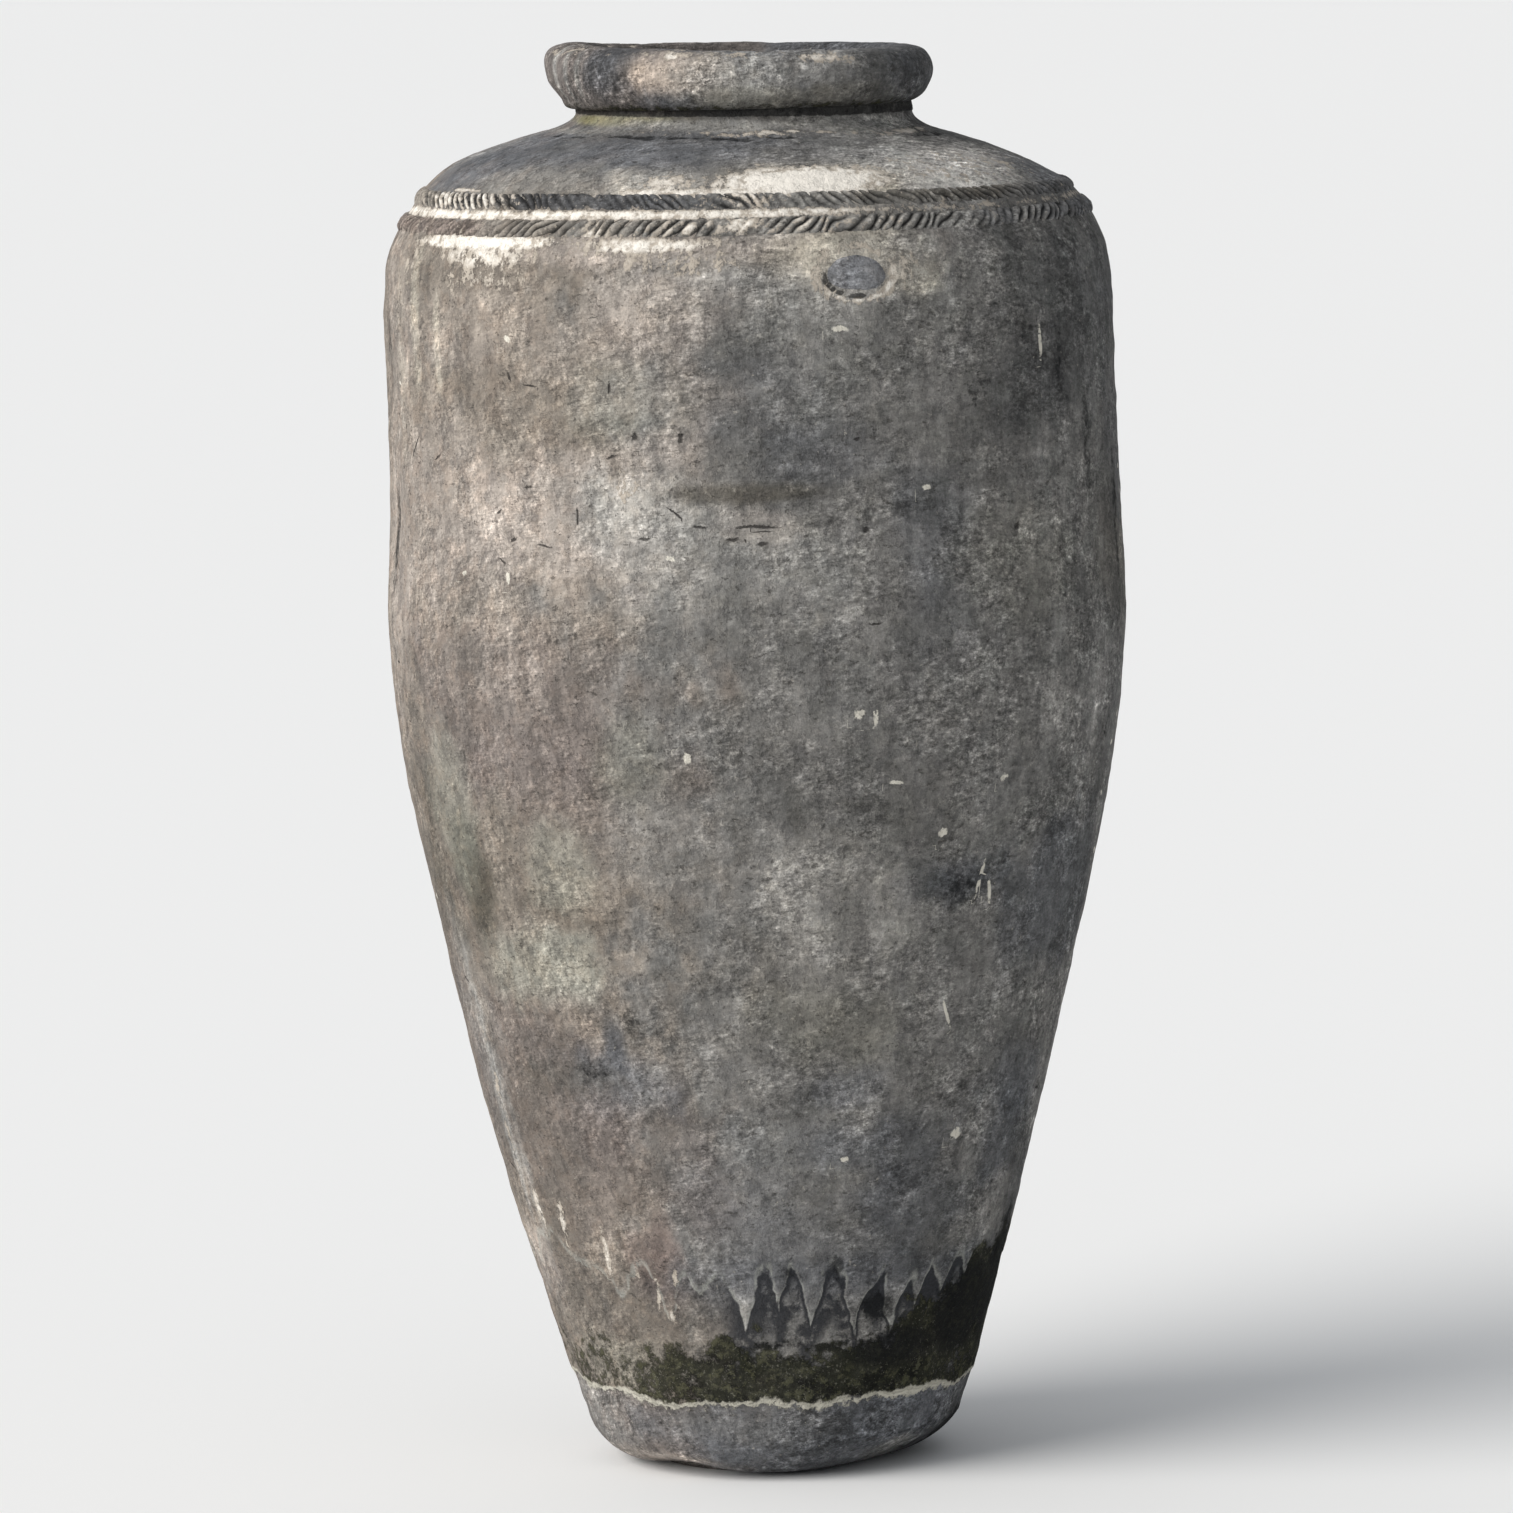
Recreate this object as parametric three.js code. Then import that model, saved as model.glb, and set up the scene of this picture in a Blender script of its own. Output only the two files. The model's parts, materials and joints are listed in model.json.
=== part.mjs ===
// A tall handleless storage amphora of stoneware, built the way a large jar is built: a base slab,
// coil-thrown wall sections, a domed shoulder, a neck collar and a rolled rim, luted with clay coils
// pressed over the inside of each seam, and dressed with two applied rope bands and an oval pad.
// Millimetres, +Z up, origin at the centre of the resting face. The front of the jar looks along -Y.
import * as THREE from "three";

// Driving dimensions, mm.
const SEGMENTS = 48; // facets round the jar
const WALL = 15; // wall thickness
const JOINT_GAP = 0.3; // slip line between neighbouring pieces
const SLAB_TOP = 26;
const NECK_TOP = 862;
const FIRST_RING = 45; // height of the first ring of points above the slab

// Seams between the sections: height outside, rise to the inside edge, and the coil pressed over it.
const LOWER_SEAM = { height: 310, rise: 8, reach: 14, proud: 7 };
const MIDDLE_SEAM = { height: 615, rise: 8, reach: 14, proud: 7 };
const SHOULDER_SEAM = { height: 793, rise: 0, reach: 9, proud: 6 };
const NECK_SEAM = { height: 847, rise: 0, reach: 4, proud: 4 };

// Outside of the walls as [height, radius], from the slab's top to the underside of the rim.
const BODY = [
  [26, 120], [43, 125], [90, 138.5], [186, 165], [282, 188.5], [378, 209.5], [443, 222.3],
  [507, 231], [548, 233], [603, 230.6], [693, 229], [746, 228], [772, 224.5], [787, 218],
  [802, 208], [813, 199], [827, 176], [839, 141], [847, 114], [854, 104], [862, 103],
];

// Handmade irregularities.
const BOW = { lean: 2.4, height: 620, spread: 120 }; // the belly swells a little to the right
const NECK_LEAN = -0.018; // the neck and the rim sink to the right by this slope
const RIM_TAPER = 0.017; // the rim's lower edge rises to the right by this slope
const FOOT_WEAR = { share: 0.16, angle: THREE.MathUtils.degToRad(50), spread: 0.6 };

const clamp01 = (x) => Math.min(Math.max(x, 0), 1);

// Radius of the outside at a height: a cubic Hermite curve through BODY with averaged slopes.
function bodyRadius(z) {
  const last = BODY.length - 1;
  const slope = (i) => (BODY[i + 1][1] - BODY[i][1]) / (BODY[i + 1][0] - BODY[i][0]);
  const tangent = (i) => {
    if (i === 0) return slope(0);
    if (i === last) return slope(last - 1);
    const before = BODY[i][0] - BODY[i - 1][0];
    const after = BODY[i + 1][0] - BODY[i][0];
    return (slope(i - 1) * after + slope(i) * before) / (before + after);
  };
  let i = 0;
  while (i < last - 1 && z > BODY[i + 1][0]) i += 1;
  const [z0, r0] = BODY[i];
  const [z1, r1] = BODY[i + 1];
  const span = z1 - z0;
  const t = (z - z0) / span;
  const s = 1 - t;
  return (
    (1 + 2 * t) * s * s * r0 + t * s * s * span * tangent(i) +
    t * t * (3 - 2 * t) * r1 - t * t * s * span * tangent(i + 1)
  );
}

// A point of the wall's cross-section at a height of the outside, moved inwards by depth along the normal.
function wallPoint(z, depth) {
  const step = 0.5;
  const slope = (bodyRadius(z + step) - bodyRadius(z - step)) / (2 * step);
  const length = Math.hypot(1, slope);
  return new THREE.Vector2(bodyRadius(z) - depth / length, z + (depth * slope) / length);
}

// The wall's inside corner where it stands flat on the slab.
function wallHeel() {
  const z = SLAB_TOP + JOINT_GAP;
  const inner = wallPoint(z, WALL);
  const drop = inner.y - z;
  return new THREE.Vector2(inner.x - (drop * drop) / (bodyRadius(z) - inner.x), z);
}

// Moves a point of the ideal jar to where the handmade jar has it.
function handmade(point) {
  const { x, y, z } = point;
  const bow = BOW.lean * Math.exp(-(((z - BOW.height) / BOW.spread) ** 2));
  const neck = clamp01((z - 800) / 40);
  const rimLow = clamp01((898 - z) / 36) * clamp01((z - 857) / 5);
  const wornHere = Math.exp(-(((Math.atan2(x, -y) - FOOT_WEAR.angle) / FOOT_WEAR.spread) ** 2));
  const worn = 1 - FOOT_WEAR.share * wornHere * clamp01(1 - z / SLAB_TOP);
  return point.set(x * worn + bow, y * worn, z + x * (NECK_LEAN * neck + RIM_TAPER * rimLow));
}

function warp(geometry) {
  const positions = geometry.getAttribute("position");
  const point = new THREE.Vector3();
  for (let i = 0; i < positions.count; i += 1) {
    handmade(point.fromBufferAttribute(positions, i));
    positions.setXYZ(i, point.x, point.y, point.z);
  }
  return geometry;
}

// Turns an outline of [radius, height] points, outside upwards and inside downwards, into a closed ring.
function turned(outline) {
  const lathe = new THREE.LatheGeometry([...outline, outline[0]], SEGMENTS);
  return warp(lathe.rotateX(Math.PI / 2));
}

// Heights of the rings of points that a seam's coil shares with the wall sections it joins.
const coilLow = (seam) => seam.height + seam.rise - seam.reach;
const coilHigh = (seam) => seam.height + seam.rise + seam.reach;

// A wall section that stands on one seam and carries the next.
function wallSection(below, above, heights) {
  const rings = [coilHigh(below), ...heights, coilLow(above)];
  const joint = below.height + JOINT_GAP;
  const outside = [joint, ...rings, above.height].map((z) => wallPoint(z, 0));
  const inside = [joint + below.rise, ...rings, above.height + above.rise].map((z) => wallPoint(z, WALL));
  return turned([...outside, ...inside.reverse()]);
}

// The first wall section, which stands on the base slab.
function footSection(above, heights) {
  const rings = [...heights, coilLow(above)];
  const outside = [SLAB_TOP + JOINT_GAP, ...rings, above.height].map((z) => wallPoint(z, 0));
  const inside = [...rings, above.height + above.rise].map((z) => wallPoint(z, WALL));
  return turned([...outside, ...inside.reverse(), wallHeel()]);
}

// The short collar between the shoulder and the rim.
function neckSection(below, top) {
  const rings = [below.height + JOINT_GAP, coilHigh(below), (coilHigh(below) + top) / 2, top];
  const outside = rings.map((z) => wallPoint(z, 0));
  const inside = rings.map((z) => wallPoint(z, WALL));
  return turned([...outside, ...inside.reverse()]);
}

// A clay coil smoothed over the inside of a seam: its back follows the wall and its face is rounded.
function seamCoil({ height, rise, reach, proud }) {
  const middle = height + rise;
  const depth = WALL + JOINT_GAP;
  const back = [-1, 0, 1].map((s) => wallPoint(middle + s * reach, depth));
  const face = [0.6, 0, -0.6].map((s) => wallPoint(middle + s * reach, depth + proud * (1 - s * s)));
  return turned([...back, ...face]);
}

// An applied rope of clay round the outside: a flat back on the wall and a rounded face.
function ropeBand({ height, halfHeight, proud }) {
  const face = [-1, -0.6, 0, 0.6, 1].map((s) =>
    wallPoint(height + s * halfHeight, -JOINT_GAP - 0.5 - proud * Math.sqrt(1 - s * s)),
  );
  const back = [1, 0, -1].map((s) => wallPoint(height + s * halfHeight, -JOINT_GAP));
  return turned([...face, ...back]);
}

function baseSlab() {
  const underside = new THREE.SplineCurve([
    new THREE.Vector2(77, 0),
    new THREE.Vector2(94, 2.5),
    new THREE.Vector2(106, 8.5),
    new THREE.Vector2(115, 17),
    new THREE.Vector2(120, SLAB_TOP),
  ]);
  const outline = [new THREE.Vector2(0, 0), ...underside.getPoints(6), new THREE.Vector2(0, SLAB_TOP)];
  return warp(new THREE.LatheGeometry(outline, SEGMENTS).rotateX(Math.PI / 2));
}

// A roll of clay pressed into the corner between the slab and the wall.
function baseCornerCoil() {
  const leg = 18;
  const heel = wallHeel();
  const above = wallPoint(FIRST_RING, WALL);
  const lean = (above.x - heel.x) / (above.y - heel.y);
  const corner = new THREE.Vector2(heel.x - 2 * JOINT_GAP, heel.y);
  const top = new THREE.Vector2(corner.x + leg * lean, corner.y + leg);
  const hollow = [0.3, 0.6].map(
    (s) => new THREE.Vector2(corner.x - leg * s * 0.8, corner.y + leg * (0.9 - s) * 0.9),
  );
  return turned([new THREE.Vector2(corner.x - leg, corner.y), corner, top, ...hollow]);
}

// The thick rolled rim, seated flat on the neck collar.
function rolledRim() {
  const seat = NECK_TOP + JOINT_GAP;
  const roll = new THREE.SplineCurve(
    [
      [103, seat], [109, seat], [115.5, 867], [120, 876], [121.3, 884], [120, 891], [115.5, 896.5],
      [107, 898.8], [98, 898], [91.5, 893.5], [88.5, 886], [88, 874], [88.5, seat],
    ].map(([r, z]) => new THREE.Vector2(r, z)),
  );
  return turned(roll.getPoints(18).map((p) => new THREE.Vector2(p.x, Math.max(p.y, seat))));
}

// An oval pad of clay pressed on to the wall, bent to its curve.
function sealPad({ angle, height, halfWidth, halfHeight, thick }) {
  const lift = 2 * JOINT_GAP;
  const outline = [[0, 0], [1, 0], [0.96, 0.55], [0.75, 0.9], [0.4, 1], [0, 1]];
  const button = new THREE.LatheGeometry(outline.map(([r, t]) => new THREE.Vector2(r, t)), 20);
  const positions = button.rotateX(Math.PI / 2).getAttribute("position");
  for (let i = 0; i < positions.count; i += 1) {
    const z = height + positions.getY(i) * halfHeight;
    const radius = bodyRadius(z) + lift + positions.getZ(i) * thick;
    const phi = angle + (positions.getX(i) * halfWidth) / bodyRadius(height);
    positions.setXYZ(i, radius * Math.sin(phi), -radius * Math.cos(phi), z);
  }
  return warp(button);
}

const FINISHES = {
  grey_body: { color: 0x8a847a, roughness: 0.92 },
  dark_shoulder: { color: 0x6f6f70, roughness: 0.9 },
  foot_clay: { color: 0x77767a, roughness: 0.95 },
  inner_clay: { color: 0x6a625a, roughness: 0.95 },
  lime_rope: { color: 0xa59c90, roughness: 0.95 },
};

const SEAL = {
  angle: THREE.MathUtils.degToRad(17), height: 764, halfWidth: 20, halfHeight: 13, thick: 3,
};

const jar = new THREE.Group();

function add(name, geometry, finish) {
  const material = new THREE.MeshStandardMaterial({ ...FINISHES[finish], metalness: 0 });
  const mesh = new THREE.Mesh(geometry, material);
  mesh.name = name;
  jar.add(mesh);
}

add("base_slab", baseSlab(), "foot_clay");
add("lower_wall", footSection(LOWER_SEAM, [FIRST_RING, 90, 150, 225]), "grey_body");
add("middle_wall", wallSection(LOWER_SEAM, MIDDLE_SEAM, [400, 460, 510, 550]), "grey_body");
add("upper_wall", wallSection(MIDDLE_SEAM, SHOULDER_SEAM, [700, 745, 772]), "grey_body");
add("shoulder", wallSection(SHOULDER_SEAM, NECK_SEAM, [813, 821, 829, 838]), "dark_shoulder");
add("neck_collar", neckSection(NECK_SEAM, NECK_TOP), "dark_shoulder");
add("rolled_rim", rolledRim(), "dark_shoulder");
add("lower_rope_band", ropeBand({ height: 793, halfHeight: 5.2, proud: 3.6 }), "lime_rope");
add("upper_rope_band", ropeBand({ height: 808, halfHeight: 4.6, proud: 3.2 }), "lime_rope");
add("seal_pad", sealPad(SEAL), "dark_shoulder");
add("base_corner_coil", baseCornerCoil(), "inner_clay");
add("lower_seam_coil", seamCoil(LOWER_SEAM), "inner_clay");
add("middle_seam_coil", seamCoil(MIDDLE_SEAM), "inner_clay");
add("shoulder_seam_coil", seamCoil(SHOULDER_SEAM), "inner_clay");
add("neck_seam_coil", seamCoil(NECK_SEAM), "inner_clay");

export default jar;
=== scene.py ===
"""A weathered stoneware amphora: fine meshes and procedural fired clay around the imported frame.

Lengths are millimetres and angles are degrees round the jar, 0 at the front (-Y) and positive towards +X,
until a mesh, a light or the camera is made in metres. A stain or a dent is placed by angle and height.
"""
import itertools
import json
import math

import bpy
import numpy as np
from mathutils import Matrix, Vector


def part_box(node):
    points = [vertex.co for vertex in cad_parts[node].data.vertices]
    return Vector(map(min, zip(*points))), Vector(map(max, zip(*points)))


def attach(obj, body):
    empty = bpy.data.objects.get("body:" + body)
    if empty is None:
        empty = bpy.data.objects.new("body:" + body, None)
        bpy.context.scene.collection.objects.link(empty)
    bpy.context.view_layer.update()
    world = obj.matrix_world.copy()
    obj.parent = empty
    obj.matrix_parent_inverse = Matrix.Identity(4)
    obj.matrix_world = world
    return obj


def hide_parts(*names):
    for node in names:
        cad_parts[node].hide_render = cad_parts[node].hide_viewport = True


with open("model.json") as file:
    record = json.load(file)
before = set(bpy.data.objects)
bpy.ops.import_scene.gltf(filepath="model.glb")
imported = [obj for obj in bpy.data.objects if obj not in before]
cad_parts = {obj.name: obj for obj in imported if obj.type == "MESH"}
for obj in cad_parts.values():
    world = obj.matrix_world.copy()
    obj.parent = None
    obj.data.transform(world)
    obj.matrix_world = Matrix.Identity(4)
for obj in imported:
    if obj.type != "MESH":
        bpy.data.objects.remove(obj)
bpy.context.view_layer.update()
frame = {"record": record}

MM = 0.001
COLUMNS = 600  # points round the jar
ROW_STEP = 2.4  # spacing of the rings of points up the outside
INSIDE_SKIP = 4  # the inside has one ring for this many outside
WALL = 15.0
SLAB_TOP, NECK_TOP = 26.0, 862.0
SECTIONS = {
    "base_slab": (0.0, SLAB_TOP),
    "lower_wall": (SLAB_TOP, 310.0),
    "middle_wall": (310.0, 615.0),
    "upper_wall": (615.0, 793.0),
    "shoulder": (793.0, 847.0),
    "neck_collar": (847.0, NECK_TOP),
}
SLOTS = {s["node"]: s["material_slot"] for s in frame["record"]["subparts"]}

# Outside of the jar as (radius, height) under the foot, and (height, radius) above it.
FOOT = [(77, 0), (94, 2.5), (106, 8.5), (115, 17), (120, SLAB_TOP)]
BODY = [
    (26, 120), (43, 125), (90, 138.5), (186, 165), (282, 188.5), (378, 209.5), (443, 222.3),
    (507, 231), (548, 233), (603, 230.6), (693, 229), (746, 228), (772, 224.5), (787, 218),
    (802, 208), (813, 199), (827, 176), (839, 141), (847, 114), (854, 104), (862, 103),
]
RIM = [
    (103, 861.8), (109, 862.3), (115.5, 867), (120, 876), (121.3, 884), (120, 891), (115.5, 896.5),
    (107, 898.8), (98, 898), (91.5, 893.5), (88.5, 886), (88, 874), (88.5, 861.8),
]
ROPES = {
    # name: height, half height, how far it stands out, slant of its strokes in strokes, stroke count
    "lower_rope_band": (793.0, 5.4, 4.0, -0.75, 166),
    "upper_rope_band": (808.0, 4.7, 3.4, 0.8, 172),
}
PAD_ANGLE, PAD_HEIGHT, PAD_HALF_WIDTH, PAD_HALF_HEIGHT, PAD_THICK = 17.0, 764.0, 20.0, 13.0, 3.0
COILS = {
    # name: middle height, half height, how far it stands out
    "lower_seam_coil": (318.0, 14.0, 7.0),
    "middle_seam_coil": (623.0, 14.0, 7.0),
    "shoulder_seam_coil": (793.0, 9.0, 6.0),
    "neck_seam_coil": (847.0, 4.0, 4.0),
}
HIDDEN_DEPTH = 1.5  # how deep the back of a stuck-on piece lies in the wall

# How the handmade jar departs from a true round one, with the frame's own numbers.
BOW, BOW_HEIGHT, BOW_SPREAD = 2.4, 620.0, 120.0  # the belly swells to the right
RIM_TAPER, NECK_SINK = 0.017, 0.018  # slopes to the right of the rim and of the neck under it
WORN_ANGLE, WORN_SPREAD, WORN_SHARE = 50.0, 0.6, 0.16  # the worn side of the foot

CAMERA_STAND, CAMERA_TARGET = (-0.0006, -5.4, 1.03), (-0.0006, 0, 0.4475)
CAMERA_LENS, CAMERA_SENSOR, CAMERA_ROLL = 203.1, 36, -1.47
SUN_FROM, SUN_STRENGTH, SUN_SPREAD = (-0.75, -0.433, 0.5), 3.0, 45
SKY_LEFT, SKY_RIGHT = 0.75, 0.25  # strength of the sky on either side
FLOOR_RADIUS, FLOOR_COLOUR = 90, (0.91, 0.91, 0.905, 1)


# ---- noise

def hash01(ix, iy, iz, seed):
    mixed = (ix * 374761393 + iy * 668265263 + iz * 1440662683 + seed * 974634777) & 0xFFFFFFFF
    mixed = ((mixed ^ (mixed >> 13)) * 1274126177) & 0xFFFFFFFF
    return (mixed ^ (mixed >> 16)) / 0xFFFFFFFF


def lattice(points, seed):
    """Smooth lattice noise from 0 to 1 with one lump per unit."""
    cell = np.floor(points).astype(np.int64)
    t = points - cell
    t = t * t * t * (t * (t * 6 - 15) + 10)
    total = np.zeros(points.shape[:-1])
    for corner in itertools.product((0, 1), repeat=3):
        weight = np.prod(np.where(corner, t, 1 - t), axis=-1)
        ix, iy, iz = np.moveaxis(cell + corner, -1, 0)
        total += weight * hash01(ix, iy, iz, seed)
    return total


def fractal(points, size, octaves=3, seed=0, rough=0.5, stretch=(1, 1, 1)):
    """Layered noise from about -1 to 1 whose largest lumps are size mm across."""
    total = 0
    weight = 1.0
    scaled = points / (np.array(stretch) * size)
    for octave in range(octaves):
        total = total + weight * (2 * lattice(scaled * 2**octave, seed + octave) - 1)
        weight *= rough
    return total


def smooth(x, low, high):
    """0 below low, 1 above high and smooth between them."""
    t = np.clip((x - low) / (high - low), 0, 1)
    return t * t * (3 - 2 * t)


def bell(x, middle, spread):
    """1 at the middle and fading to nothing on both sides."""
    return np.exp(-(((x - middle) / spread) ** 2))


# ---- the jar's form

def catmull(points, steps):
    """A Catmull-Rom curve through the points."""
    p = np.array(points, float)
    p = np.vstack([2 * p[0] - p[1], p, 2 * p[-1] - p[-2]])
    t = np.linspace(0, 1, steps, endpoint=False)[:, None]
    spans = [
        0.5 * (2 * b + (c - a) * t + (2 * a - 5 * b + 4 * c - d) * t**2 + (3 * b - a - 3 * c + d) * t**3)
        for a, b, c, d in zip(p, p[1:], p[2:], p[3:])
    ]
    return np.vstack([*spans, p[-2]])


def body_radius(z):
    """Cubic Hermite curve through BODY with averaged slopes."""
    knots, radii = np.array(BODY, float).T
    gaps = np.diff(knots)
    slopes = np.diff(radii) / gaps
    inner = (slopes[:-1] * gaps[1:] + slopes[1:] * gaps[:-1]) / (gaps[1:] + gaps[:-1])
    tangents = np.concatenate([slopes[:1], inner, slopes[-1:]])
    i = np.clip(np.searchsorted(knots, z) - 1, 0, len(gaps) - 1)
    t = (z - knots[i]) / gaps[i]
    s = 1 - t
    return (
        (1 + 2 * t) * s * s * radii[i] + t * s * s * gaps[i] * tangents[i]
        + t * t * (3 - 2 * t) * radii[i + 1] - t * t * s * gaps[i] * tangents[i + 1]
    )


class Profile:
    """The outside of the jar as radius, height and outward normal by distance along its outline."""

    def __init__(self):
        heights = np.arange(SLAB_TOP + 0.5, NECK_TOP + 0.25, 0.5)
        body = np.column_stack([body_radius(heights), heights])
        outline = np.vstack([catmull(FOOT, 12), body])
        self.radius, self.height = outline.T
        steps = np.hypot(*np.diff(outline, axis=0).T)
        self.along = np.concatenate([[0], np.cumsum(steps)])
        tangent = np.gradient(outline, self.along, axis=0)
        tangent /= np.linalg.norm(tangent, axis=1)[:, None]
        self.normal_r, self.normal_z = tangent[:, 1], -tangent[:, 0]

    def at_height(self, z):
        return np.interp(z, self.height, self.along)

    def at(self, along):
        return [
            np.interp(along, self.along, column)
            for column in (self.radius, self.height, self.normal_r, self.normal_z)
        ]


PROFILE = Profile()


def handmade(points):
    """Moves points of the ideal jar to where the handmade jar has them, as in the frame."""
    x, y, z = np.moveaxis(points, -1, 0)
    bow = BOW * bell(z, BOW_HEIGHT, BOW_SPREAD)
    neck = np.clip((z - 800) / 40, 0, 1)
    rim_low = np.clip((898 - z) / 36, 0, 1) * np.clip((z - 857) / 5, 0, 1)
    worn_here = bell(np.arctan2(x, -y), math.radians(WORN_ANGLE), WORN_SPREAD)
    worn = 1 - WORN_SHARE * worn_here * np.clip(1 - z / SLAB_TOP, 0, 1)
    sunk = z + x * (RIM_TAPER * rim_low - NECK_SINK * neck)
    return np.stack([x * worn + bow, y * worn, sunk], axis=-1)


def polar(angle, radius, z):
    """The point at an angle round the jar, a distance from its axis and a height."""
    phi = np.radians(angle)
    return np.stack([radius * np.sin(phi), -radius * np.cos(phi), z + 0 * phi], axis=-1)


def turns(columns):
    """The angles of evenly spaced points round the jar."""
    return np.arange(columns) * 360 / columns - 180


def spot(angle, z, radius, where):
    """Squared distance from a place (angle, height, half sizes): 1 at the edge of its ellipse."""
    centre, height, half_width, half_height = where
    aside = (angle - centre + 180) % 360 - 180
    return (np.radians(aside) * radius / half_width) ** 2 + ((z - height) / half_height) ** 2


# Dents and swellings: angle, height, half width, half height, depth outwards.
DENTS = [
    (1.5, 625, 46, 6, -2.6),  # long crease in the belly
    (2, 633, 40, 9, 0.8),  # clay pushed up above it
    (1, 612, 15, 2.6, -1.3),  # crack below the crease
    (-12, 621, 9, 3, -0.9),
    (-79, 612, 24, 42, -3.2),  # hollow on the left
    (-81, 705, 20, 34, -1.8),
    (17, 608, 3.5, 3, -1.4),  # small round pit
    (92, 822, 80, 15, -3.0),  # flattened shoulder on the right
    (92, 858, 70, 7, 4.0),  # clay filling the corner under the rim
    (-95, 826, 70, 12, 1.2),
    (17, 764, 36, 25, 1.2),  # clay smeared round the pad
    (26, 762, 9, 8, 1.6),
    (160, 560, 60, 40, -2.4),  # dents on the far side
    (-140, 430, 50, 70, -2.0),
    (120, 300, 36, 50, -1.6),
    (-120, 680, 44, 22, -1.8),
    (-38, 3, 30, 9, -5.0),  # bite out of the foot
    (64, 30, 50, 14, -1.2),
]
PIT_COUNT = 260


def dented(angle, z, radius, listed):
    """Relief of listed dents and swellings."""
    relief = 0 * radius
    for *where, depth in listed:
        relief = relief + depth * np.exp(-spot(angle, z, radius, where))
    return relief


def pitted(angle, z, radius):
    """Relief of small random pits between the foot and the shoulder."""
    relief = 0 * radius
    dice = np.random.default_rng(3)
    for _ in range(PIT_COUNT):
        half = dice.uniform(2, 5)
        where = (dice.uniform(-180, 180), dice.uniform(8, 800), half * dice.uniform(1, 2.2), half)
        depth = dice.uniform(-0.9, -0.3)
        near = np.abs(z[:, 0] - where[1]) < 3 * half
        relief[near] += depth * np.exp(-spot(angle[near], z[near], radius[near], where))
    return relief


def form(angle, z, radius):
    """The jar's slow unevenness, shared by the wall and what is stuck on it."""
    points = polar(angle, radius, z)
    slow = 1.1 * fractal(points, 210, 2, seed=11) + 0.45 * fractal(points, 60, 2, seed=17)
    foot_rest = smooth(z, 0, 10)
    return slow * foot_rest + dented(angle, z, radius, DENTS)


def surface(points):
    """Throwing rings and the grain of coarse clay."""
    rings = 0.28 * fractal(points * (0.12, 0.12, 1), 16, 2, seed=23)
    lumpy = 0.30 * fractal(points, 22, 3, seed=29) + 0.18 * fractal(points, 7, 2, seed=31)
    return rings + lumpy


# ---- weathering

def srgb(code):
    """A hexadecimal sRGB colour as linear light."""
    parts = np.array([code >> 16 & 255, code >> 8 & 255, code & 255]) / 255
    return np.where(parts <= 0.04045, parts / 12.92, ((parts + 0.055) / 1.055) ** 2.4)


COLOURS = {
    "grey": 0x73716E, "warm": 0x7E766D, "cream": 0xA0978F, "ash": 0x9B9995, "mauve": 0x6E6662,
    "rust": 0x74645E, "olive": 0x8A867A, "slate": 0x646568, "navy": 0x4D4F53, "coal": 0x484848,
    "umber": 0x544F46, "stone": 0x918F8B, "lichen": 0x88845E, "beige": 0xA3968A,
    "steel": 0x7E7F82, "pale": 0xA6A29C, "bone": 0xBDB5A6, "chalk": 0xBEBAB5, "sage": 0x8D8E83,
}

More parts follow.
